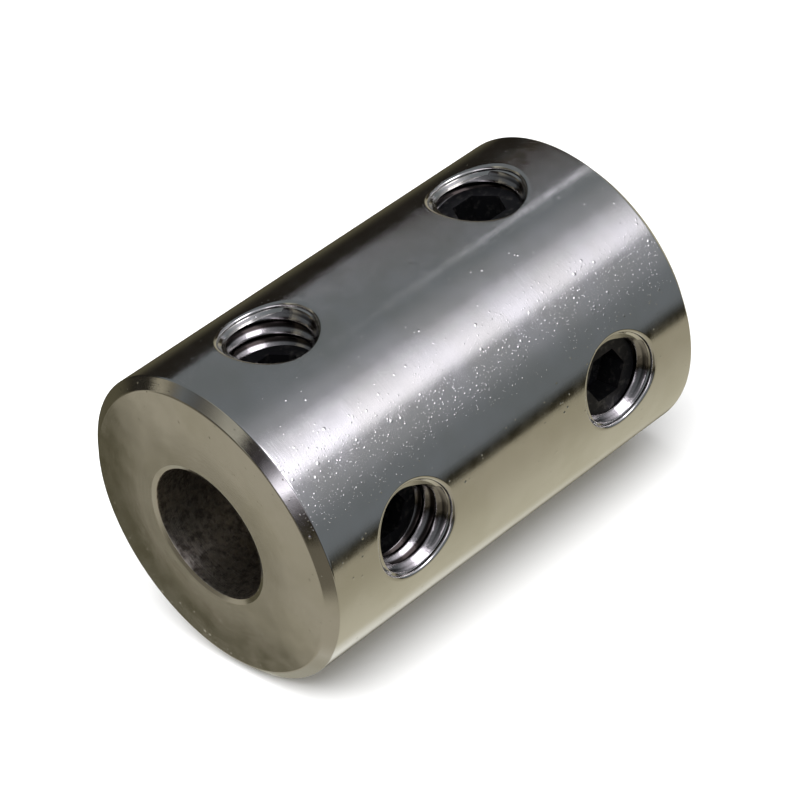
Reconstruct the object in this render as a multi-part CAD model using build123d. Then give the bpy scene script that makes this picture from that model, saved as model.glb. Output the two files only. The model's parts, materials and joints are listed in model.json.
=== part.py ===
from build123d import *
import os

# Rigid shaft coupling: one turned sleeve joins a 6 mm shaft to an 8 mm shaft.
# Two set screws at each end, a quarter turn apart, clamp each shaft.
#
# Frame, in millimetres: X runs along the bore from the 6 mm end (-X) to the 8 mm end (+X),
# the front row of screws points to -Y and the top row to +Z. The origin is the sleeve's centre.

# Sleeve
SLEEVE_DIAMETER = 14.0
SLEEVE_LENGTH = 22.0
SMALL_BORE_DIAMETER = 6.0
LARGE_BORE_DIAMETER = 8.0
BORE_EDGE_CHAMFER = 0.1
SMALL_END_CHAMFER = 0.5  # outer edge at the 6 mm bore's end
LARGE_END_CHAMFER = 0.7  # outer edge at the 8 mm bore's end

# Tapped holes, drawn plain at the thread's nominal diameter plus a clearance
THREAD_DIAMETER = 4.0  # M4
THREAD_CLEARANCE = 0.03  # each hole is this much larger in radius and each screw this much smaller
HOLE_TO_END = 5.0
HOLE_RIM_CHAMFER = 0.2  # countersink, measured on the hole's radius

# Set screws, hexagon socket and cup point
SCREW_LENGTH = 2.0
SOCKET_ACROSS_FLATS = 2.0
SOCKET_DEPTH = 1.2
SCREW_TOP_CHAMFER = 0.3
POINT_DIAMETER = 2.5
CUP_DIAMETER = 2.0
CUP_DEPTH = 0.35
TIP_TO_BORE = 0.1  # gap between the screw's point and the shaft at rest

OVERCUT = 1.0  # how far a cutting tool runs past the face that it starts from

SLEEVE_RADIUS = SLEEVE_DIAMETER / 2
SLEEVE_END = SLEEVE_LENGTH / 2
HOLE_RADIUS = THREAD_DIAMETER / 2 + THREAD_CLEARANCE
SCREW_RADIUS = THREAD_DIAMETER / 2 - THREAD_CLEARANCE
HOLE_X = SLEEVE_END - HOLE_TO_END

ROWS = {"front": (0, -1, 0), "top": (0, 0, 1)}
ENDS = {"6mm": (-HOLE_X, SMALL_BORE_DIAMETER / 2), "8mm": (HOLE_X, LARGE_BORE_DIAMETER / 2)}


def lathe_profile(points):
    """A closed outline in the XY plane, turned about the X axis."""
    outline = make_face(Polyline(*points, close=True))
    return revolve(outline, Axis.X)


def turned_sleeve():
    """The sleeve before its screw holes, with its stepped bore and four chamfered edges."""
    small_radius = SMALL_BORE_DIAMETER / 2
    large_radius = LARGE_BORE_DIAMETER / 2
    return lathe_profile([
        (-SLEEVE_END + BORE_EDGE_CHAMFER, small_radius),
        (-SLEEVE_END, small_radius + BORE_EDGE_CHAMFER),
        (-SLEEVE_END, SLEEVE_RADIUS - SMALL_END_CHAMFER),
        (-SLEEVE_END + SMALL_END_CHAMFER, SLEEVE_RADIUS),
        (SLEEVE_END - LARGE_END_CHAMFER, SLEEVE_RADIUS),
        (SLEEVE_END, SLEEVE_RADIUS - LARGE_END_CHAMFER),
        (SLEEVE_END, large_radius + BORE_EDGE_CHAMFER),
        (SLEEVE_END - BORE_EDGE_CHAMFER, large_radius),
        (0, large_radius),
        (0, small_radius),
    ])


def on_screw_axis(shape, x, row):
    """Stand a shape drawn up the Z axis on a screw's axis, pointing out of the sleeve."""
    return Plane(origin=(x, 0, 0), z_dir=row, x_dir=(1, 0, 0)) * shape


def hole_cutter(bore_radius):
    """A drill of the hole's radius with the countersink that breaks its outer edge."""
    start = bore_radius - OVERCUT
    drill = Cylinder(
        HOLE_RADIUS, SLEEVE_RADIUS + OVERCUT - start, align=(Align.CENTER, Align.CENTER, Align.MIN)
    )
    sink_height = HOLE_RIM_CHAMFER + OVERCUT
    sink = Cone(
        HOLE_RADIUS, HOLE_RADIUS + sink_height, sink_height, align=(Align.CENTER, Align.CENTER, Align.MIN)
    )
    return Pos(0, 0, start) * drill + Pos(0, 0, SLEEVE_RADIUS - HOLE_RIM_CHAMFER) * sink


def set_screw():
    """One set screw, standing on its point at the origin with its socket up."""
    point_radius = POINT_DIAMETER / 2
    cup_radius = CUP_DIAMETER / 2
    point_height = SCREW_RADIUS - point_radius
    outline = make_face(Polyline(
        (0, CUP_DEPTH),
        (cup_radius, 0),
        (point_radius, 0),
        (SCREW_RADIUS, point_height),
        (SCREW_RADIUS, SCREW_LENGTH - SCREW_TOP_CHAMFER),
        (SCREW_RADIUS - SCREW_TOP_CHAMFER, SCREW_LENGTH),
        (0, SCREW_LENGTH),
        close=True,
    ))
    body = revolve(Plane.XZ * outline, Axis.Z)
    hexagon = RegularPolygon(SOCKET_ACROSS_FLATS / 2, 6, major_radius=False)
    socket = extrude(hexagon, SOCKET_DEPTH + OVERCUT)
    return body - Pos(0, 0, SCREW_LENGTH - SOCKET_DEPTH) * socket


sleeve = turned_sleeve()
for hole_x, bore_radius in ENDS.values():
    for row in ROWS.values():
        sleeve -= on_screw_axis(hole_cutter(bore_radius), hole_x, row)

pieces = {"coupling_sleeve": sleeve}
for end_name, (hole_x, bore_radius) in ENDS.items():
    for row_name, row in ROWS.items():
        raised = Pos(0, 0, bore_radius + TIP_TO_BORE) * set_screw()
        pieces[f"set_screw_{end_name}_{row_name}"] = on_screw_axis(raised, hole_x, row)

os.makedirs("parts", exist_ok=True)
for name, piece in pieces.items():
    export_step(piece, f"parts/{name}.step")
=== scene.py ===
import json
import math
from collections import namedtuple
from contextlib import contextmanager

import bmesh
import bpy
from mathutils import Matrix, Vector


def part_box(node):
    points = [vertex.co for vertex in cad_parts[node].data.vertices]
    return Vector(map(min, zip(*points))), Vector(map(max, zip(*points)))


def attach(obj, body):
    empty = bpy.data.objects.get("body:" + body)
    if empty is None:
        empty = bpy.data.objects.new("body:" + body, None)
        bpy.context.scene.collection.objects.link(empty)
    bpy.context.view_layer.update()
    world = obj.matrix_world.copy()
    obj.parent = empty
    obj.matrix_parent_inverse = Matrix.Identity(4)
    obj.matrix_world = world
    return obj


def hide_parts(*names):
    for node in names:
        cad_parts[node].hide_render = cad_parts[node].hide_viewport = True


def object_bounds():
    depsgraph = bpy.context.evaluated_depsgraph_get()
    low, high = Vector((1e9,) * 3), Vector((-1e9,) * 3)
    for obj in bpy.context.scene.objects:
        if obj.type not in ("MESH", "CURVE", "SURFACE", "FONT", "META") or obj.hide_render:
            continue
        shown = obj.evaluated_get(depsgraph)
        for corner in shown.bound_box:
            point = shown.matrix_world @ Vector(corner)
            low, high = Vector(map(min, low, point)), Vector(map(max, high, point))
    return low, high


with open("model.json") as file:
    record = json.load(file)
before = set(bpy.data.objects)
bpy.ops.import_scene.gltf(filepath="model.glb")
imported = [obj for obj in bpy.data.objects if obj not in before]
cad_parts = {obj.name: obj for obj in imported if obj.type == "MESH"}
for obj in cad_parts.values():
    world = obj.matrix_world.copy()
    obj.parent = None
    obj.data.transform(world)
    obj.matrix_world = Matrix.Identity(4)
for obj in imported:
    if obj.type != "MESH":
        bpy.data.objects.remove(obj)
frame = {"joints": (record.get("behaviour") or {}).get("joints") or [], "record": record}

# Rigid shaft coupling: a nickel-plated sleeve with four M4 set screws.
# Shapes are drawn in millimetres, in the frame of the CAD model, and turned into metres at the end.
# X runs along the bore. A screw and the tools that cut its hole are drawn up the Z axis, then put in place.

CAD_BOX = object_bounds()
MM = 0.001

# Thread, M4 x 0.7, right-hand
PITCH = 0.7
MAJOR_RADIUS = 2.0
MINOR_RADIUS = 1.70
THREAD_GAP = 0.03  # on the radius, half of it in the hole and half on the screw
THREAD_SHARPNESS = 0.95  # 1 gives straight flanks and sharp crests, less rounds them
THREAD_COLUMNS = 144
THREAD_STEPS = 16  # points in each pitch
SPARE_TURNS = 2  # drawn past each end, so that every column of points reaches the end

# Sleeve
LATHE_SEGMENTS = 720
SMALL_END_CHAMFER = 0.5
LARGE_END_CHAMFER = 0.7
BORE_CHAMFER = 0.22  # on the radius
BORE_CHAMFER_DEPTH = 0.09
FACE_FLAT_RADIUS = 4.9  # the end faces are flat to about here, then fall a little
FACE_FALL = 0.10
FACE_ROUND = 30.0
EDGE_ROUND = 0.10
FACE_EDGE_ROUND = 0.22
BORE_EDGE_ROUND = 0.04
ROUNDING_STEPS = 5

# Tapped holes
HOLE_X = 6.0  # distance from the middle of the sleeve
TAP_INTO_BORE = 1.2  # how far the tap reaches past the wall on each side
TAP_ABOVE_SLEEVE = 0.5
RIM_RADIUS = 2.22  # outer edge of the rounding round each hole
RIM_ROUND = 0.19
RIM_WALL = 0.04  # straight part under the rounding
COUNTERSINK = 0.12  # 45 degree cone under that, where the thread starts
RIM_STEPS = 7
RIM_TOOL_EDGE = 0.05  # above the sleeve, the rim's tool is this much wider than the rim
RIM_TOOL_LIFT = 0.01
RIM_TOOL_TOP = 0.8

# Set screws
SCREW_SEGMENTS = 144
SOCKET_SIDES = 6
SOCKET_FLATS = 2.0
SOCKET_DEPTH = 1.2
SOCKET_TIP = 0.3  # depth of the cone at the socket's bottom
SOCKET_TOOL_TOP = 1.0  # above the screw
SCREW_TOP_CHAMFER = 0.3
POINT_RADIUS = 1.25
CUP_RADIUS = 1.0
CUP_DEPTH = 0.35
TIP_RING = 0.02  # a small ring round each tip, so that long faces don't meet in a point
TIP_RING_DROP = 0.01
ROD_SPARE = 0.2  # length cut off each end of the threaded rod
ROD_CLEAR = 0.01  # between the thread's crests and the shape that trims the rod's ends

# Meshes
SEAM_GAP = 1e-5  # vertices closer than this are one
SLIVER = 1e-6  # edges shorter than this are dropped
WELD_GAP = 5e-5  # a finished piece has no vertices closer than this
SHARP_ANGLE = 28.0
FLAT_FACE_WEIGHT = 80  # above 50, large faces lead the shading more

# Finishes, as material indices on every piece
TURNED_FINISH, BORE_FINISH, THREAD_FINISH, OXIDE_FINISH = range(4)

# Camera, in degrees and metres, with its lens and sensor in millimetres
CAMERA_AZIMUTH = -39.2
CAMERA_ELEVATION = 34.17
CAMERA_ROLL = -10.4
CAMERA_DISTANCE = 0.14264
CAMERA_LENS = 155.0
CAMERA_SENSOR = 36.0
CAMERA_NEAR = 0.01
CAMERA_FAR = 10.0

# Metal, with its distances in millimetres
RUBBED_SIDE = (0.0, -0.829, 0.559)  # the side with the most pits
RUBBED_HEIGHT = (6.65, 6.95)  # how far out on that side they begin, and where they are thickest
ROOT_DEPTH = (0.16, 0.09)  # inside the major radius: a thread is bright at the first and darkened by painted shade at the second
LAST_TURN = (6.65, 6.45)  # from the bore's axis: outside the first the whole thread is bright, inside the second its roots take painted shade
MARKS_ON_FACES = 1.37  # the grooves lie this much closer on the end faces
MARKS_RUNOUT = 0.12  # how little they change round the axis
BRIGHT_NICKEL = (0.80, 0.79, 0.77)
DULL_NICKEL = (0.74, 0.73, 0.69)
CLEAN_BORE = (0.62, 0.57, 0.50)
GRIMY_BORE = (0.20, 0.17, 0.14)
# Thread colours: crests dimmed below the sleeve's nickel and roots near black, as painted shade inside the
# tapped holes
SHADED_THREAD_CREST = (0.37, 0.355, 0.35)
THREAD_ROOT_SHADE = (0.025, 0.021, 0.019)
BLACK_OXIDE = (0.020, 0.020, 0.023)
WORN_OXIDE = (0.075, 0.072, 0.07)

# Floor and light
FLOOR_SIZE = 1.5  # metres from its middle to each side
FLOOR_WHITE = (0.90, 0.90, 0.90)
FLOOR_WARM_WHITE = (0.92, 0.92, 0.915)
PLAIN_WHITE = (0.95, 0.95, 0.95)
PLAIN_LIGHT = 0.75
KEY_POWER = 2.2
KEY_SIZE = 0.40
KEY_PLACE = (-0.12, -0.10, 0.35)

# The room that only reflections see
ROOM_UP = (0.0, -0.454, 0.891)  # it leans a little
NEAR_END = (-0.60, -0.80)  # where along the room its near end starts, and where it is complete
TABLE_FAR = (0.35, 0.32, 0.235)
TABLE_MIDDLE = (0.50, 0.47, 0.36)
TABLE_CLOSE = (0.80, 0.79, 0.72)
TABLE_UNDERNEATH = (0.36, 0.345, 0.28)
TABLE_NEAR_END = (0.35, 0.32, 0.245)
TABLE_CORNER = (0.13, 0.115, 0.085)
NEIGHBOUR_TOP = (0.014, 0.012, 0.009)
NEIGHBOUR_FOOT = (0.085, 0.076, 0.047)
NEIGHBOUR_END = (0.026, 0.020, 0.014)
SKIRTING = (0.016, 0.013, 0.005)
WALL = (0.146, 0.160, 0.172)
WALL_NEAR_END = (0.020, 0.016, 0.017)
WALL_PATCH = (0.40, 0.385, 0.32)
LAMP_COLOUR = (1.0, 0.965, 1.07)
LAMP_TURN = 50.0
LAMP_TILT = 15.0  # the lamp's near end hangs this much lower
TUBE_LIGHT = 1.10
GLOW_LIGHT = 0.30
HAZE_LIGHT = 0.05
DIM_STRETCH = 0.3  # the share of its light that the lamp keeps between its middle and its near end
NEAR_END_GAIN = 0.8
MIDDLE_LIGHT = 3.0
GLINT_LIGHT = 1.6


# ---------------------------------------------------------------- meshes

def mesh_object(name, vertices, faces, materials, material_index=0):
    mesh = bpy.data.meshes.new(name)
    mesh.from_pydata(vertices, [], faces)
    for material in materials:
        mesh.materials.append(material)
    mesh.polygons.foreach_set("material_index", [material_index] * len(mesh.polygons))
    piece = bpy.data.objects.new(name, mesh)
    bpy.context.scene.collection.objects.link(piece)
    return piece


def ring(radius, height, segments):
    """Points evenly round a circle that lies flat at this height."""
    turns = [2 * math.pi * j / segments for j in range(segments)]
    return [(radius * math.cos(turn), radius * math.sin(turn), height) for turn in turns]


def band(low, high, segments):
    """The quads between two rings, whose first vertices are numbered low and high."""
    after = [(j + 1) % segments for j in range(segments)]
    return [(low + j, low + m, high + m, high + j) for j, m in enumerate(after)]


def fan(start, centre, segments):
    """The triangles between the ring that starts at vertex start and one vertex in its middle."""
    return [(start + j, start + (j + 1) % segments, centre) for j in range(segments)]


def rounded(corners):
    """A closed outline of (x, radius) points. Each corner is (x, radius, rounding)."""
    points = []
    for i, (x, r, rounding) in enumerate(corners):
        corner = Vector((x, r))
        back = (Vector(corners[i - 1][:2]) - corner).normalized()
        ahead = (Vector(corners[(i + 1) % len(corners)][:2]) - corner).normalized()
        half = back.angle(ahead) / 2
        cut = rounding / math.tan(half)
        centre = corner + (back + ahead).normalized() * rounding / math.sin(half)
        start = corner + back * cut - centre
        sweep = start.angle_signed(corner + ahead * cut - centre)
        for k in range(ROUNDING_STEPS + 1):
            points.append(centre + Matrix.Rotation(-sweep * k / ROUNDING_STEPS, 2) @ start)
    return points


def lathe(name, outline, segments, finish_of):
    """A solid turned about X from a closed outline off the axis. finish_of picks each band's finish."""
    vertices = []
    for x, r in outline:
        vertices += [(x, y, z) for y, z, _ in ring(r, x, segments)]
    faces = []
    finishes = []
    count = len(outline)
    for i in range(count):
        k = (i + 1) % count
        faces += band(i * segments, k * segments, segments)
        finishes += [finish_of(outline[i], outline[k])] * segments
    piece = mesh_object(name, vertices, faces, FINISHES)
    piece.data.polygons.foreach_set("material_index", finishes)
    point_outward(piece)
    return piece


def lathe_z(name, outline, segments, finish):
    """A solid turned about Z from an outline of (radius, z) points that starts and ends on the axis."""
    vertices = [(0, 0, outline[0][1])]
    for r, z in outline[1:-1]:
        vertices += ring(r, z, segments)
    vertices.append((0, 0, outline[-1][1]))
    starts = range(1, len(vertices) - 1, segments)
    faces = fan(starts[0], 0, segments)
    for low, high in zip(starts, starts[1:]):
        faces += band(low, high, segments)
    faces += fan(starts[-1], len(vertices) - 1, segments)
    piece = mesh_object(name, vertices, faces, FINISHES, finish)
    point_outward(piece)
    return piece


@contextmanager
def edit(piece):
    """The mesh of a piece, open for changes."""
    work = bmesh.new()
    work.from_mesh(piece.data)
    yield work
    work.to_mesh(piece.data)
    work.free()


def point_outward(piece):
    with edit(piece) as work:
        bmesh.ops.recalc_face_normals(work, faces=work.faces)


def close_up(piece, finish):
    """Merge a drawn surface's seams, cap its open ends and turn its faces outward."""
    with edit(piece) as work:
        bmesh.ops.remove_doubles(work, verts=work.verts, dist=SEAM_GAP)
        bmesh.ops.dissolve_degenerate(work, edges=work.edges, dist=SLIVER)
        bmesh.ops.holes_fill(work, edges=[edge for edge in work.edges if edge.is_boundary], sides=0)
        for face in work.faces:
            face.material_index = finish
        bmesh.ops.recalc_face_normals(work, faces=work.faces)


def weld(piece):
    """Merge the vertices that the cuts left on top of each other, and with them the faces that have no area."""
    with edit(piece) as work:
        bmesh.ops.remove_doubles(work, verts=work.verts, dist=WELD_GAP)


def thread_radius(share):
    """Radius halfway between hole and screw thread, at this share of the pitch above a hole's crest."""
    wave = math.asin(THREAD_SHARPNESS * math.cos(2 * math.pi * share)) / math.asin(THREAD_SHARPNESS)
    return (MAJOR_RADIUS + MINOR_RADIUS) / 2 - (MAJOR_RADIUS - MINOR_RADIUS) / 2 * wave


def threaded_rod(name, low, high, offset, finish):
    """A closed rod up the Z axis with a right-hand thread. Rods with any offset mesh with each other."""
    turns = range(math.floor(low / PITCH) - SPARE_TURNS, math.ceil(high / PITCH) + SPARE_TURNS)
    rows = [turn + step / THREAD_STEPS for turn in turns for step in range(THREAD_STEPS)]
    vertices = []
    for j in range(THREAD_COLUMNS + 1):
        around = j / THREAD_COLUMNS
        for row in rows:
            z = min(max((row + around) * PITCH, low), high)
            radius = thread_radius(z / PITCH - around) + offset
            vertices.append((
                radius * math.cos(2 * math.pi * around),
                radius * math.sin(2 * math.pi * around),
                z,
            ))
    count = len(rows)
    faces = []
    for j in range(THREAD_COLUMNS):
        for i in range(count - 1):
            a = j * count + i
            faces.append((a, a + count, a + count + 1, a + 1))
    piece = mesh_object(name, vertices, faces, FINISHES)
    close_up(piece, finish)
    return piece


def rim_cutter(sleeve_radius):
    """The tool for a hole's rounded rim, up the Z axis. It follows the sleeve's curved surface."""
    wall = RIM_RADIUS - RIM_ROUND
    wall_end = RIM_ROUND + RIM_WALL
    outline = [(wall - COUNTERSINK, wall_end + COUNTERSINK), (wall, wall_end)]  # radius, depth
    for step in range(RIM_STEPS + 1):
        turn = math.pi / 2 * step / RIM_STEPS
        outline.append((RIM_RADIUS - RIM_ROUND * math.cos(turn), RIM_ROUND * (1 - math.sin(turn))))
    outline.append((RIM_RADIUS + RIM_TOOL_EDGE, -RIM_TOOL_LIFT))
    outline.append((RIM_RADIUS + RIM_TOOL_EDGE, -RIM_TOOL_TOP))
    vertices = []
    for r, depth in outline:
        for x, y, _ in ring(r, 0, THREAD_COLUMNS):
            vertices.append((x, y, math.sqrt(sleeve_radius ** 2 - y ** 2) - depth))
    starts = range(0, len(vertices), THREAD_COLUMNS)
    faces = []
    for low, high in zip(starts, starts[1:]):
        faces += band(low, high, THREAD_COLUMNS)
    for start in (starts[0], starts[-1]):
        edge = [Vector(vertices[start + j]) for j in range(THREAD_COLUMNS)]
        vertices.append(sum(edge, Vector()) / THREAD_COLUMNS)
        faces += fan(start, len(vertices) - 1, THREAD_COLUMNS)
    cutter = mesh_object("rim", vertices, faces, FINISHES, TURNED_FINISH)
    point_outward(cutter)
    return cutter


def combine(piece, other, operation):
    """Cut or intersect piece with other, which is used up."""
    modifier = piece.modifiers.new(operation.lower(), "BOOLEAN")
    modifier.operation = operation
    modifier.solver = "MANIFOLD"
    modifier.object = other
    apply_modifiers(piece)
    bpy.data.objects.remove(other)


def apply_modifiers(piece):
    graph = bpy.context.evaluated_depsgraph_get()
    mesh = bpy.data.meshes.new_from_object(piece.evaluated_get(graph))
    old = piece.data
    piece.modifiers.clear()
    piece.data = mesh
    bpy.data.meshes.remove(old)


def finish_surface(piece):
    """Smooth shading that breaks at real edges and follows the large faces, then millimetres to metres."""
    weld(piece)
    piece.data.shade_smooth()
    piece.data.set_sharp_from_angle(angle=math.radians(SHARP_ANGLE))
    modifier = piece.modifiers.new("normals", "WEIGHTED_NORMAL")
    modifier.keep_sharp = True
    modifier.weight = FLAT_FACE_WEIGHT
    apply_modifiers(piece)
    piece.data.transform(Matrix.Scale(MM, 4))


# ---------------------------------------------------------------- pieces

# A set screw: the CAD node that it stands for, the matrix that puts the Z axis on its axis, the heights of
# its point and its top on that axis, and the radius of the bore that it reaches
Screw = namedtuple("Screw", "node place bottom top bore_radius")


def read_screws(bores):
    """The set screws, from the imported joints: each one is driven along its own axis."""
    screws = []
    for joint in frame["joints"]:
        out = Vector(joint["axis"])
        low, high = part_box(joint["child"])
        middle = (low + high) / 2 / MM
        side = Vector((1, 0, 0))
        place = Matrix((side, out.cross(side), out)).transposed().to_4x4()
        place.translation = (middle.x, 0, 0)
        bottom, top = sorted((low.dot(out) / MM, high.dot(out) / MM))
        bore_radius = bores["bore_6mm"] if middle.x < 0 else bores["bore_8mm"]
        screws.append(Screw(joint["child"], place, bottom, top, bore_radius))
    return screws


def build_sleeve(small_radius, large_radius, screws):
    """The turned sleeve with its tapped and countersunk holes."""
    end = CAD_BOX[1][0] / MM
    radius = CAD_BOX[1][2] / MM
    outline = rounded([
        (-end + BORE_CHAMFER_DEPTH, small_radius, BORE_EDGE_ROUND),
        (-end, small_radius + BORE_CHAMFER, BORE_EDGE_ROUND),
        (-end, FACE_FLAT_RADIUS, FACE_ROUND),
        (-end + FACE_FALL, radius - SMALL_END_CHAMFER, FACE_EDGE_ROUND),
        (-end + SMALL_END_CHAMFER, radius, EDGE_ROUND),
        (end - LARGE_END_CHAMFER, radius, EDGE_ROUND),
        (end - FACE_FALL, radius - LARGE_END_CHAMFER, FACE_EDGE_ROUND),
        (end, FACE_FLAT_RADIUS, FACE_ROUND),
        (end, large_radius + BORE_CHAMFER, BORE_EDGE_ROUND),
        (end - BORE_CHAMFER_DEPTH, large_radius, BORE_EDGE_ROUND),
        (0, large_radius, BORE_EDGE_ROUND),
        (0, small_radius, BORE_EDGE_ROUND),
    ])

    def finish_of(start, stop):
        inside = max(abs(start[0]), abs(stop[0])) < end - BORE_CHAMFER_DEPTH / 2
        narrow = max(start[1], stop[1]) < large_radius + BORE_CHAMFER / 2
        return BORE_FINISH if inside and narrow else TURNED_FINISH

    sleeve = lathe("nickel_sleeve", outline, LATHE_SEGMENTS, finish_of)
    for screw in screws:
        low = screw.bore_radius - TAP_INTO_BORE
        tap = threaded_rod("tap", low, radius + TAP_ABOVE_SLEEVE, THREAD_GAP / 2, THREAD_FINISH)
        for cutter in (tap, rim_cutter(radius)):
            cutter.data.transform(screw.place)
            combine(sleeve, cutter, "DIFFERENCE")
    return sleeve


def build_screw(screw):
    """A set screw with a cup point and a hexagon socket, threaded to match its hole's thread."""
    bottom = screw.bottom
    top = screw.top
    cup_top = bottom + CUP_DEPTH
    wide = MAJOR_RADIUS + ROD_CLEAR
    socket_floor = top - SOCKET_DEPTH
    socket_corner = SOCKET_FLATS / 2 / math.cos(math.pi / SOCKET_SIDES)
    name = screw.node + "_threaded"
    piece = threaded_rod(name, bottom - ROD_SPARE, top + ROD_SPARE, -THREAD_GAP / 2, OXIDE_FINISH)
    envelope = lathe_z("envelope", [
        (0, cup_top),
        (TIP_RING, cup_top - TIP_RING_DROP),
        (CUP_RADIUS, bottom),
        (POINT_RADIUS, bottom),
        (wide, bottom + MAJOR_RADIUS - POINT_RADIUS),
        (wide, top - SCREW_TOP_CHAMFER),
        (MAJOR_RADIUS - SCREW_TOP_CHAMFER, top),
        (TIP_RING, top),
        (0, top),
    ], SCREW_SEGMENTS, OXIDE_FINISH)
    socket = lathe_z("socket", [
        (0, socket_floor - SOCKET_TIP),
        (TIP_RING, socket_floor - SOCKET_TIP + TIP_RING_DROP),
        (socket_corner, socket_floor),
        (socket_corner, top + SOCKET_TOOL_TOP),
        (0, top + SOCKET_TOOL_TOP),
    ], SOCKET_SIDES, OXIDE_FINISH)
    combine(piece, envelope, "INTERSECT")
    combine(piece, socket, "DIFFERENCE")
    piece.data.transform(screw.place)
    return piece


def stand_for(piece, node):
    """Finish a piece and show it instead of a CAD node, whose body has the same name."""
    finish_surface(piece)
    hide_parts(node)
    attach(piece, node)


# ---------------------------------------------------------------- node trees

class Nodes:
    """A short way to write a node tree."""

    def __init__(self, tree):
        self.tree = tree
        tree.nodes.clear()

    def add(self, kind, inputs=None, **settings):
        node = self.tree.nodes.new("ShaderNode" + kind)
        for name, value in settings.items():
            setattr(node, name, value)
        for name, value in (inputs or {}).items():
            self.feed(node.inputs[name], value)
        return node

    def feed(self, socket, value):
        if isinstance(value, bpy.types.NodeSocket):
            self.tree.links.new(value, socket)
        else:
            socket.default_value = value

    def math(self, operation, *values):
        node = self.add("Math", operation=operation)
        for socket, value in zip(node.inputs, values):
            self.feed(socket, value)
        return node.outputs[0]

    def sum(self, *values):
        total = values[0]
        for value in values[1:]:
            total = self.math("ADD", total, value)
        return total

    def product(self, *values):
        total = values[0]
        for value in values[1:]:
            total = self.math("MULTIPLY", total, value)
        return total

    def length(self, first, second):
        """The length of a vector with these two parts."""
        return self.math("SQRT", self.sum(self.math("POWER", first, 2.0), self.math("POWER", second, 2.0)))

    def vector(self, operation, *values, output="Vector"):
        node = self.add("VectorMath", operation=operation)
        for socket, value in zip(node.inputs, values):
            self.feed(socket, value)
        return node.outputs[output]

    def dot(self, first, second):
        return self.vector("DOT_PRODUCT", first, second, output="Value")

    def scaled(self, vector, factor):
        return self.add("VectorMath", {"Vector": vector, "Scale": factor}, operation="SCALE").outputs[0]

    def ramp(self, value, low, high, to_low=0.0, to_high=1.0, smooth=True):
        """Value mapped from low..high to to_low..to_high, held at the ends."""
        return self.add("MapRange", {
            "Value": value,
            "From Min": low,
            "From Max": high,
            "To Min": to_low,
            "To Max": to_high,
        }, interpolation_type="SMOOTHSTEP" if smooth else "LINEAR").outputs[0]

    def mix(self, share, first, second, kind="MIX"):
        """A blend of two colours, each a socket or (red, green, blue)."""
        node = self.add("Mix", data_type="RGBA", blend_type=kind)
        # This node has sockets for numbers, vectors and colours with the same names, so these go by place.
        self.feed(node.inputs[0], share)
        for socket, colour in zip(node.inputs[6:8], (first, second)):
            self.feed(socket, (*colour, 1.0) if isinstance(colour, tuple) else colour)
        return node.outputs[2]

    def noise(self, where, scale, detail=2.0, roughness=0.5):
        inputs = {"Vector": where, "Scale": scale, "Detail": detail, "Roughness": roughness}
        return self.add("TexNoise", inputs).outputs[0]

    def relief(self, *layers):
        """A normal with bumps laid over each other. A layer is its height, strength and depth in metres."""
        normal = None
        for height, strength, depth in layers:
            bump = self.add("Bump", {"Height": height, "Strength": strength, "Distance": depth})
            if normal is not None:
                self.feed(bump.inputs["Normal"], normal)
            normal = bump.outputs[0]
        return normal


# ---------------------------------------------------------------- materials

# The shaded point in millimetres, its three parts and its distance from the bore's axis
Spot = namedtuple("Spot", "point x y z distance")


def shaded_spot(nodes):
    point = nodes.scaled(nodes.add("TexCoord").outputs["Object"], 1 / MM)
    x, y, z = nodes.add("SeparateXYZ", {"Vector": point}).outputs
    return Spot(point, x, y, z, nodes.length(y, z))


def lathe_marks(nodes, spot):
    """Fine grooves that run round the axis: a height that changes along the surface and hardly round it."""
    along = nodes.math("MULTIPLY_ADD", spot.distance, MARKS_ON_FACES, spot.x)
    turn = nodes.math("ARCTAN2", spot.z, spot.y)
    where = nodes.add("CombineXYZ", {"X": along, "Y": nodes.product(turn, MARKS_RUNOUT)}).outputs[0]
    fine = nodes.noise(where, 16.0, detail=4.0, roughness=0.7)
    coarse = nodes.noise(where, 2.2)
    return nodes.sum(fine, nodes.product(coarse, 0.6))


def new_material(name):
    material = bpy.data.materials.new(name)
    material.use_nodes = True
    return material, Nodes(material.node_tree)


def set_surface(nodes, inputs):
    shader = nodes.add("BsdfPrincipled", inputs)
    nodes.add("OutputMaterial", {"Surface": shader.outputs[0]})


def pits(nodes, point, scale, cutoff):
    """Small ragged pits, one in each of the cells whose random number is above the cutoff."""
    ragged = nodes.add("TexNoise", {"Vector": point, "Scale": 3.0 * scale, "Detail": 1.0}).outputs["Color"]
    where = nodes.vector("MULTIPLY_ADD", ragged, [0.2 / scale] * 3, point)
    cells = nodes.add("TexVoronoi", {"Vector": where, "Scale": scale})
    pick, size, _ = nodes.add("SeparateColor", {"Color": cells.outputs["Color"]}).outputs
    chosen = nodes.math("GREATER_THAN", pick, cutoff)
    width = nodes.ramp(size, 0.0, 1.0, 0.15, 0.42)
    return nodes.product(chosen, nodes.ramp(cells.outputs["Distance"], width, 0.02))


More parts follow.
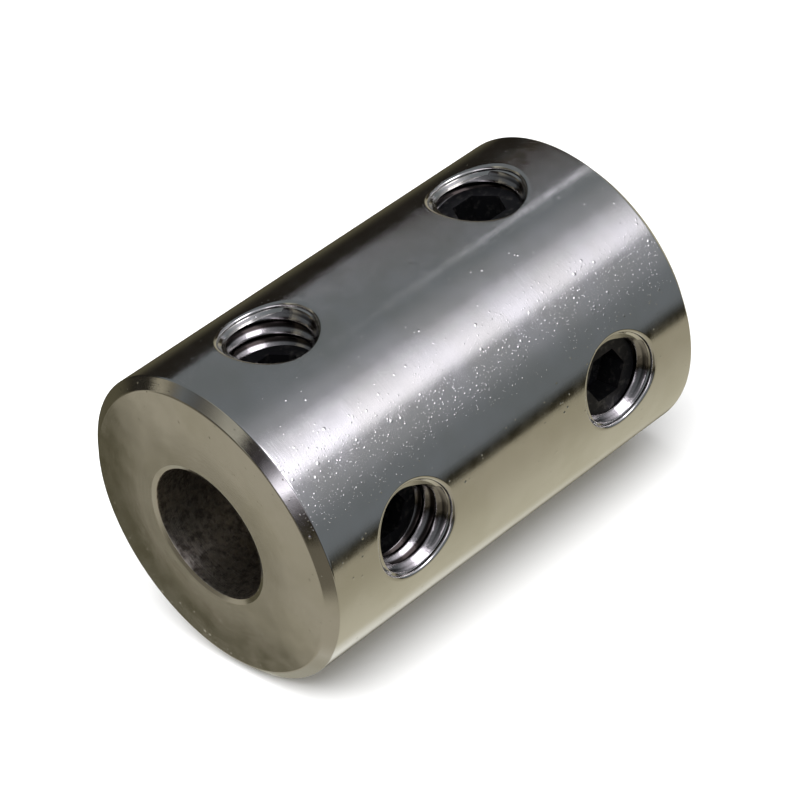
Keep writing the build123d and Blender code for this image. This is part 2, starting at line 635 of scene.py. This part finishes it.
def turned_nickel():
    """Bright nickel on turned steel: fine grooves, small pits that catch the light, duller patches."""
    material, nodes = new_material("nickel_turned")
    spot = shaded_spot(nodes)
    point = spot.point
    dulled = nodes.ramp(nodes.noise(point, 0.35, detail=3.0), 0.35, 0.68)
    rubbed = nodes.product(
        nodes.ramp(nodes.dot(point, RUBBED_SIDE), *RUBBED_HEIGHT),
        nodes.ramp(nodes.noise(point, 0.5), 0.28, 0.52),
    )
    large_pits = pits(nodes, point, 4.5, nodes.ramp(rubbed, 0.0, 1.0, 0.97, 0.85))
    small_pits = pits(nodes, point, 9.0, nodes.ramp(rubbed, 0.0, 1.0, 0.98, 0.74))
    fine_pits = pits(nodes, point, 14.0, nodes.ramp(rubbed, 0.0, 1.0, 1.0, 0.78))
    pitted = nodes.sum(large_pits, small_pits, nodes.product(fine_pits, 0.6))
    smudges = nodes.ramp(nodes.noise(point, 1.3, detail=5.0), 0.3, 0.7, 0.11, 0.17)
    orange_peel = nodes.product(rubbed, nodes.noise(point, 3.5))
    wave = nodes.noise(point, 0.55, detail=1.0)
    set_surface(nodes, {
        "Base Color": nodes.mix(dulled, BRIGHT_NICKEL, DULL_NICKEL),
        "Metallic": 1.0,
        "Roughness": nodes.sum(smudges, nodes.product(pitted, 0.08)),
        "Normal": nodes.relief(
            (lathe_marks(nodes, spot), 0.10, 0.00002),
            (orange_peel, 0.08, 0.00002),
            (pitted, 0.40, 0.00003),
            (wave, 0.08, 0.0001),
        ),
    })
    return material


def bored_nickel():
    """The bore: thin plating over drilled steel, with rough tool rings and grime."""
    material, nodes = new_material("nickel_bore")
    spot = shaded_spot(nodes)
    grime = nodes.noise(spot.point, 2.4, detail=6.0, roughness=0.65)
    set_surface(nodes, {
        "Base Color": nodes.mix(nodes.ramp(grime, 0.38, 0.66), CLEAN_BORE, GRIMY_BORE),
        "Metallic": 1.0,
        "Roughness": nodes.ramp(grime, 0.3, 0.7, 0.28, 0.5),
        "Normal": nodes.relief((lathe_marks(nodes, spot), 0.6, 0.00004), (grime, 0.4, 0.00004)),
    })
    return material


def threaded_nickel():
    """Tapped threads: bright crests, with painted shade that darkens the roots and the turns deep in each hole.
    """
    material, nodes = new_material("nickel_thread")
    spot = shaded_spot(nodes)
    along = nodes.math("SUBTRACT", nodes.math("ABSOLUTE", spot.x), HOLE_X)
    across = nodes.math("MINIMUM", nodes.math("ABSOLUTE", spot.y), nodes.math("ABSOLUTE", spot.z))
    root_shade = nodes.ramp(nodes.math("SUBTRACT", MAJOR_RADIUS, nodes.length(along, across)), *ROOT_DEPTH)
    deep_shade = nodes.ramp(spot.distance, *LAST_TURN)
    grain = nodes.noise(spot.point, 9.0, detail=4.0)
    set_surface(nodes, {
        # Painted shade: the roots, and the turns deep in each hole, go dark
        "Base Color": nodes.mix(nodes.product(root_shade, deep_shade), SHADED_THREAD_CREST, THREAD_ROOT_SHADE),
        "Metallic": 1.0,
        "Roughness": nodes.ramp(grain, 0.3, 0.7, 0.10, 0.18),
        "Normal": nodes.relief((grain, 0.25, 0.00002)),
    })
    return material


def black_oxide():
    """Black oxide on alloy steel, oily, rubbed thin in places."""
    material, nodes = new_material("black_oxide")
    point = shaded_spot(nodes).point
    worn = nodes.ramp(nodes.noise(point, 3.0, detail=5.0, roughness=0.6), 0.5, 0.72)
    grain = nodes.noise(point, 20.0, detail=3.0)
    set_surface(nodes, {
        "Base Color": nodes.mix(worn, BLACK_OXIDE, WORN_OXIDE),
        "Metallic": 0.85,
        "Roughness": nodes.ramp(grain, 0.3, 0.7, 0.3, 0.45),
        "Normal": nodes.relief((grain, 0.3, 0.00002)),
    })
    return material


def white_floor():
    material, nodes = new_material("floor_white")
    shade = nodes.noise(nodes.add("TexCoord").outputs["Object"], 6.0)
    set_surface(nodes, {
        "Base Color": nodes.mix(shade, FLOOR_WHITE, FLOOR_WARM_WHITE),
        "Roughness": 0.9,
        "Specular IOR Level": 0.0,
    })
    return material


# ---------------------------------------------------------------- studio

# A direction in the mirrored room: how far it points along the bore (+X), across it (+Y) and up (ROOM_UP),
# each from -1 to 1, and its turn about the bore in degrees, which is 0 at -Y and 90 at +Z
Way = namedtuple("Way", "along across height turn")


def table_colour(nodes, way):
    """A khaki table that the coupling lies on, and another coupling that lies beside it."""
    table = nodes.mix(nodes.ramp(way.height, -0.15, -0.85), TABLE_FAR, TABLE_MIDDLE)
    table = nodes.mix(nodes.ramp(way.height, -0.81, -0.89), table, TABLE_CLOSE)
    table = nodes.mix(nodes.ramp(way.height, -0.90, -0.95), table, TABLE_UNDERNEATH)
    table = nodes.mix(nodes.ramp(way.along, 0.0, -0.4), table, TABLE_NEAR_END)
    corner = nodes.product(nodes.ramp(way.along, -0.5, -0.6), nodes.ramp(way.height, -0.50, -0.35))
    table = nodes.mix(corner, table, TABLE_CORNER)
    neighbour = nodes.mix(nodes.ramp(way.height, -0.40, -0.65), NEIGHBOUR_TOP, NEIGHBOUR_FOOT)
    behind = nodes.product(
        nodes.ramp(way.along, -0.475, -0.435),
        nodes.ramp(way.along, 0.72, 0.64),
        nodes.ramp(way.across, 0.35, 0.55),
        nodes.ramp(way.height, -0.93, -0.885),
    )
    return nodes.mix(behind, table, neighbour)


def past_neighbour(nodes, way):
    """Degrees past the slanting edge of the other coupling's end."""
    edge = nodes.ramp(way.along, 0.518, 0.590, 164.0, 105.0, smooth=False)
    return nodes.math("SUBTRACT", way.turn, edge)


def wall_colour(nodes, way):
    """A cool grey wall, dark at its near end but for a pale patch. The other coupling hides its far end."""
    wall = nodes.mix(nodes.ramp(way.along, *NEAR_END), WALL, WALL_NEAR_END)
    patch = nodes.product(
        nodes.ramp(way.turn, 150.0, 112.0),
        nodes.ramp(way.turn, 104.0, 108.0),
        nodes.ramp(way.along, -0.60, -0.68),
    )
    wall = nodes.mix(patch, wall, WALL_PATCH)
    return nodes.mix(nodes.ramp(past_neighbour(nodes, way), -2.0, 2.0), wall, NEIGHBOUR_END)


def lamp_strength(nodes, way):
    """A long soft lamp over the coupling, its bright middle, and its glint on the other coupling's edge."""
    lamp_turn = nodes.ramp(way.along, *NEAR_END, LAMP_TURN, LAMP_TURN - LAMP_TILT)
    above = nodes.math("SUBTRACT", way.turn, lamp_turn)
    beside = nodes.math("ABSOLUTE", above)
    lower_side = nodes.ramp(above, -16.0, -6.0)
    upper_side = nodes.ramp(above, 22.0, -3.0, smooth=False)
    tube = nodes.math("MINIMUM", lower_side, upper_side)
    lamp = nodes.sum(
        nodes.product(tube, TUBE_LIGHT),
        nodes.product(nodes.ramp(beside, 52.0, 0.0), GLOW_LIGHT),
        nodes.product(nodes.ramp(beside, 40.0, 30.0), HAZE_LIGHT),
    )
    far_fade = nodes.ramp(way.along, 0.95, 0.3)
    dimmed = nodes.ramp(way.along, -0.30, -0.15, DIM_STRETCH, 1.0)
    near_gain = nodes.ramp(way.along, -0.65, -0.75, 0.0, NEAR_END_GAIN)
    reach = nodes.sum(nodes.product(far_fade, dimmed), near_gain)
    middle = nodes.product(
        nodes.ramp(beside, 17.0, 13.0),
        nodes.ramp(way.along, 0.42, 0.36),
        nodes.ramp(way.along, -0.14, -0.08, 0.0, MIDDLE_LIGHT),
    )
    from_edge = nodes.math("ABSOLUTE", nodes.sum(past_neighbour(nodes, way), 3.0))
    glint = nodes.product(
        nodes.ramp(from_edge, 2.0, 0.5),
        nodes.ramp(way.along, 0.512, 0.525, 0.0, GLINT_LIGHT),
    )
    return nodes.sum(nodes.product(lamp, reach), middle, glint)


def build_world():
    """The metal mirrors a table, a wall with a dark skirting in front, and a lamp. All else sees white."""
    world = bpy.data.worlds.new("studio")
    bpy.context.scene.world = world
    world.use_nodes = True
    nodes = Nodes(world.node_tree)
    direction = nodes.vector("NORMALIZE", nodes.add("TexCoord").outputs["Generated"])
    along, across, upward = nodes.add("SeparateXYZ", {"Vector": direction}).outputs
    turn = nodes.math("DEGREES", nodes.math("ARCTAN2", upward, nodes.product(across, -1.0)))
    way = Way(along, across, nodes.dot(direction, ROOM_UP), turn)

    wall = wall_colour(nodes, way)
    low_wall = nodes.mix(nodes.ramp(across, 0.2, 0.4), SKIRTING, wall)
    room = nodes.mix(nodes.ramp(way.height, -0.045, -0.015), table_colour(nodes, way), low_wall)
    room = nodes.mix(nodes.ramp(way.height, 0.045, 0.20), room, wall)
    lit = nodes.mix(1.0, room, nodes.scaled(LAMP_COLOUR, lamp_strength(nodes, way)), kind="ADD")

    plain = nodes.add("Background", {"Color": (*PLAIN_WHITE, 1.0), "Strength": PLAIN_LIGHT})
    mirrored = nodes.add("Background", {"Color": lit, "Strength": 1.0})
    seen = nodes.add("MixShader")
    nodes.feed(seen.inputs[0], nodes.add("LightPath").outputs["Is Glossy Ray"])
    nodes.feed(seen.inputs[1], plain.outputs[0])
    nodes.feed(seen.inputs[2], mirrored.outputs[0])
    nodes.add("OutputWorld", {"Surface": seen.outputs[0]})


def build_floor(height):
    corners = [(x * FLOOR_SIZE, y * FLOOR_SIZE, height) for x, y in ((-1, -1), (1, -1), (1, 1), (-1, 1))]
    floor = mesh_object("floor", corners, [(0, 1, 2, 3)], [white_floor()])
    floor.visible_glossy = False


def build_key_light():
    """A large soft light above the camera's side, which lights the floor and draws a soft shadow."""
    lamp = bpy.data.lights.new("key", "AREA")
    lamp.shape = "DISK"
    lamp.size = KEY_SIZE
    lamp.energy = KEY_POWER
    key = bpy.data.objects.new("key", lamp)
    key.location = KEY_PLACE
    key.rotation_euler = (-key.location).to_track_quat("-Z", "Y").to_euler()
    key.visible_glossy = False
    bpy.context.scene.collection.objects.link(key)


def build_camera():
    data = bpy.data.cameras.new("camera")
    data.lens = CAMERA_LENS
    data.sensor_width = CAMERA_SENSOR
    data.clip_start = CAMERA_NEAR
    data.clip_end = CAMERA_FAR
    camera = bpy.data.objects.new("camera", data)
    turn = math.radians(CAMERA_AZIMUTH)
    lift = math.radians(CAMERA_ELEVATION)
    back = Vector((math.sin(turn) * math.cos(lift), -math.cos(turn) * math.cos(lift), math.sin(lift)))
    camera.location = back * CAMERA_DISTANCE
    facing = back.to_track_quat("Z", "Y").to_matrix()
    roll = Matrix.Rotation(math.radians(CAMERA_ROLL), 3, back)
    camera.rotation_euler = (roll @ facing).to_euler()
    bpy.context.scene.collection.objects.link(camera)
    bpy.context.scene.camera = camera


# ---------------------------------------------------------------- scene

FINISHES = [turned_nickel(), bored_nickel(), threaded_nickel(), black_oxide()]

bores = {mount["name"]: mount["dims"]["r_mm"] for mount in frame["record"]["mounts"]}
screws = read_screws(bores)
stand_for(build_sleeve(bores["bore_6mm"], bores["bore_8mm"], screws), "coupling_sleeve")
for screw in screws:
    stand_for(build_screw(screw), screw.node)

build_world()
build_floor(CAD_BOX[0][2])
build_key_light()
build_camera()
bpy.context.scene.view_settings.view_transform = "Standard"
